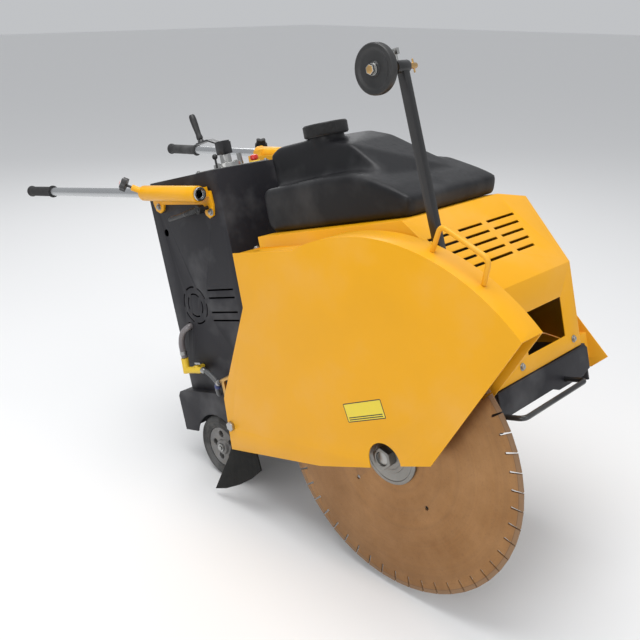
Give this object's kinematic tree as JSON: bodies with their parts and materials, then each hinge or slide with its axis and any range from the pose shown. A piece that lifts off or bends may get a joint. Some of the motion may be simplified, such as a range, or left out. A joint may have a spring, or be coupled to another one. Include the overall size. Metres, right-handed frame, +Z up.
{
  "type": "walk-behind concrete saw",
  "caption": "Walk-behind floor saw: large slotted diamond blade under a folded sheet guard, engine hood, water tank, console and pull-out handlebars.",
  "frame": {"origin": "on the floor, under the middle of the bounding box", "axes": "+X forward, the way the saw cuts; +Y to the operator's left; +Z up"},
  "size_m": [2.0008, 0.595, 1.281],
  "materials": {
    "yellow_paint": "semi-gloss enamel",
    "charcoal_paint": "fine satin powder coat",
    "steel": "zinc plated",
    "cast_iron": "machined",
    "aluminium": "satin",
    "blade_steel": "bronze lacquer",
    "brass": "dull",
    "black_plastic": "moulded, slightly glossy",
    "black_rubber": "matt",
    "tyre_rubber": "solid rubber",
    "red_plastic": "gloss",
    "yellow_plastic": "moulded",
    "clear_hose": "clear vinyl"
  },
  "bodies": {
    "chassis": {"main_frame": "charcoal_paint", "spindle_carrier": "charcoal_paint", "bearing_block_right": "cast_iron", "bearing_block_left": "cast_iron", "front_bumper": "charcoal_paint", "front_loop_bar": "charcoal_paint", "engine_hood": "yellow_paint", "engine_block": "aluminium", "muffler": "steel", "drive_belts": "black_rubber", "belt_cover": "yellow_paint", "guard_pivot_bolt": "steel", "rear_box": "charcoal_paint", "rear_axle": "steel", "console": "charcoal_paint", "control_plate": "aluminium", "handle_sleeve_right": "yellow_paint", "handle_sleeve_left": "yellow_paint", "water_tank": "black_plastic", "water_valve": "yellow_plastic", "hose_upper": "clear_hose", "hose_lower": "black_rubber", "water_pipe": "brass"},
    "blade_spindle": {"spindle_shaft": "steel", "blade": "blade_steel", "inner_flange": "steel", "outer_flange": "steel", "spindle_nut": "steel", "spindle_pulley": "cast_iron"},
    "engine_drive": {"engine_shaft": "steel", "engine_pulley": "cast_iron"},
    "guard": {"blade_guard": "yellow_paint", "guard_lift_handle": "yellow_paint", "splash_flap": "black_rubber"},
    "rear_wheel_right": {"rear_tyre_right": "tyre_rubber", "rear_hub_right": "aluminium"},
    "rear_wheel_left": {"rear_tyre_left": "tyre_rubber", "rear_hub_left": "aluminium"},
    "front_axle": {"front_yoke": "charcoal_paint"},
    "front_roller_right": {"front_wheel_right": "tyre_rubber"},
    "front_roller_left": {"front_wheel_left": "tyre_rubber"},
    "crank": {"crank_handle": "charcoal_paint"},
    "crank_knob": {"crank_grip": "black_plastic"},
    "handle_right": {"handlebar_right": "aluminium", "grip_right": "black_rubber"},
    "handle_left": {"handlebar_left": "aluminium", "grip_left": "black_rubber"},
    "knob_right": {"star_knob_right": "black_plastic"},
    "knob_left": {"star_knob_left": "black_plastic"},
    "lever_right": {"clamp_lever_right": "black_plastic"},
    "lever_left": {"clamp_lever_left": "black_plastic"},
    "guide_mast": {"guide_arm": "charcoal_paint"},
    "guide_screw": {"guide_thumbscrew": "steel"},
    "guide_slide": {"guide_rod": "brass"},
    "guide_roller": {"guide_wheel": "black_plastic"},
    "cap": {"tank_cap": "black_plastic"},
    "stop": {"stop_button": "red_plastic"},
    "key": {"ignition_key": "steel"},
    "throttle": {"throttle_lever": "black_plastic"},
    "valve": {"valve_handle": "steel"}
  },
  "joints": [
    {"name": "blade_spin", "type": "hinge", "parent": "chassis", "child": "blade_spindle", "pos_m": [0.65039, -0.22948, 0.37163], "axis": [0, 1, 0], "continuous": true},
    {"name": "engine_spin", "type": "hinge", "parent": "chassis", "child": "engine_drive", "pos_m": [0.51336, -0.22948, 0.64517], "axis": [0, 1, 0], "continuous": true},
    {"name": "guard_lift", "type": "hinge", "parent": "chassis", "child": "guard", "pos_m": [0.12924, -0.24648, 0.26431], "axis": [0, -1, 0], "range_deg": [0, 20]},
    {"name": "rear_right_roll", "type": "hinge", "parent": "chassis", "child": "rear_wheel_right", "pos_m": [-0.02846, -0.17848, 0.098], "axis": [0, 1, 0], "continuous": true},
    {"name": "rear_left_roll", "type": "hinge", "parent": "chassis", "child": "rear_wheel_left", "pos_m": [-0.02846, 0.18952, 0.098], "axis": [0, 1, 0], "continuous": true},
    {"name": "crank_turn", "type": "hinge", "parent": "chassis", "child": "crank", "pos_m": [-0.13311, -0.05948, 0.9618], "axis": [-0.2639, 0, 0.9646], "range_deg": [0, 3600]},
    {"name": "front_axle_swing", "type": "hinge", "parent": "chassis", "child": "front_axle", "pos_m": [0.5179, 0.00552, 0.43906], "axis": [0, 1, 0], "range_deg": [0, 50]},
    {"name": "front_right_roll", "type": "hinge", "parent": "front_axle", "child": "front_roller_right", "pos_m": [0.55117, -0.14048, 0.07493], "axis": [0, 1, 0], "continuous": true},
    {"name": "front_left_roll", "type": "hinge", "parent": "front_axle", "child": "front_roller_left", "pos_m": [0.55117, 0.06152, 0.07493], "axis": [0, 1, 0], "continuous": true},
    {"name": "crank_grip_spin", "type": "hinge", "parent": "crank", "child": "crank_knob", "pos_m": [-0.23904, -0.05948, 0.97533], "axis": [-0.4799, 0, 0.8773], "continuous": true},
    {"name": "handle_right_slide", "type": "slide", "parent": "chassis", "child": "handle_right", "axis": [0.9893, 0, 0.1461], "range_m": [0, 0.15]},
    {"name": "handle_left_slide", "type": "slide", "parent": "chassis", "child": "handle_left", "axis": [0.9959, 0, 0.0906], "range_m": [-0.22, 0]},
    {"name": "knob_right_turn", "type": "hinge", "parent": "chassis", "child": "knob_right", "pos_m": [-0.33949, -0.26348, 0.85973], "axis": [-0.7104, -0.6055, 0.3587], "range_deg": [0, 720]},
    {"name": "knob_left_turn", "type": "hinge", "parent": "chassis", "child": "knob_left", "pos_m": [-0.35294, 0.27552, 0.90892], "axis": [-0.7104, 0.6055, 0.3587], "range_deg": [0, 720]},
    {"name": "lever_right_swing", "type": "hinge", "parent": "chassis", "child": "lever_right", "pos_m": [-0.04986, -0.22148, 0.82803], "axis": [0, -1, 0], "range_deg": [0, 70]},
    {"name": "lever_left_swing", "type": "hinge", "parent": "chassis", "child": "lever_left", "pos_m": [-0.06331, 0.23252, 0.87722], "axis": [0, -1, 0], "range_deg": [0, 70]},
    {"name": "guide_arm_swing", "type": "hinge", "parent": "chassis", "child": "guide_mast", "pos_m": [0.83601, -0.19748, 0.55719], "axis": [0, 1, 0], "range_deg": [0, 148]},
    {"name": "guide_screw_turn", "type": "hinge", "parent": "guide_mast", "child": "guide_screw", "pos_m": [0.60858, -0.21148, 1.25179], "axis": [-0.3112, 0, 0.9504], "range_deg": [0, 720]},
    {"name": "guide_rod_slide", "type": "slide", "parent": "guide_mast", "child": "guide_slide", "axis": [0, 1, 0], "range_m": [-0.018, 0.03]},
    {"name": "guide_wheel_spin", "type": "hinge", "parent": "guide_slide", "child": "guide_roller", "pos_m": [0.6154, -0.19748, 1.23095], "axis": [0, 1, 0], "continuous": true},
    {"name": "tank_cap_turn", "type": "hinge", "parent": "chassis", "child": "cap", "pos_m": [0.23878, -0.02948, 1.05006], "axis": [-0.2639, 0, 0.9646], "range_deg": [0, 360]},
    {"name": "stop_button_press", "type": "slide", "parent": "chassis", "child": "stop", "axis": [0.2639, 0, -0.9646], "range_m": [0, 0.004], "stiffness_N_per_m": 900},
    {"name": "ignition_key_turn", "type": "hinge", "parent": "chassis", "child": "key", "pos_m": [-0.12361, -0.00948, 0.92708], "axis": [0.2639, 0, -0.9646], "range_deg": [0, 90]},
    {"name": "throttle_swing", "type": "hinge", "parent": "chassis", "child": "throttle", "pos_m": [-0.09402, -0.10948, 0.88334], "axis": [0, 1, 0], "range_deg": [-14, 14]},
    {"name": "valve_turn", "type": "hinge", "parent": "chassis", "child": "valve", "pos_m": [-0.1157, -0.20948, 0.34867], "axis": [0.2639, 0, -0.9646], "range_deg": [0, 90]}
  ],
  "couplings": [
    {"joint": "engine_spin", "follows": "blade_spin", "ratio": 1.3333},
    {"joint": "front_axle_swing", "follows": "crank_turn", "ratio": 0.013888}
  ]
}
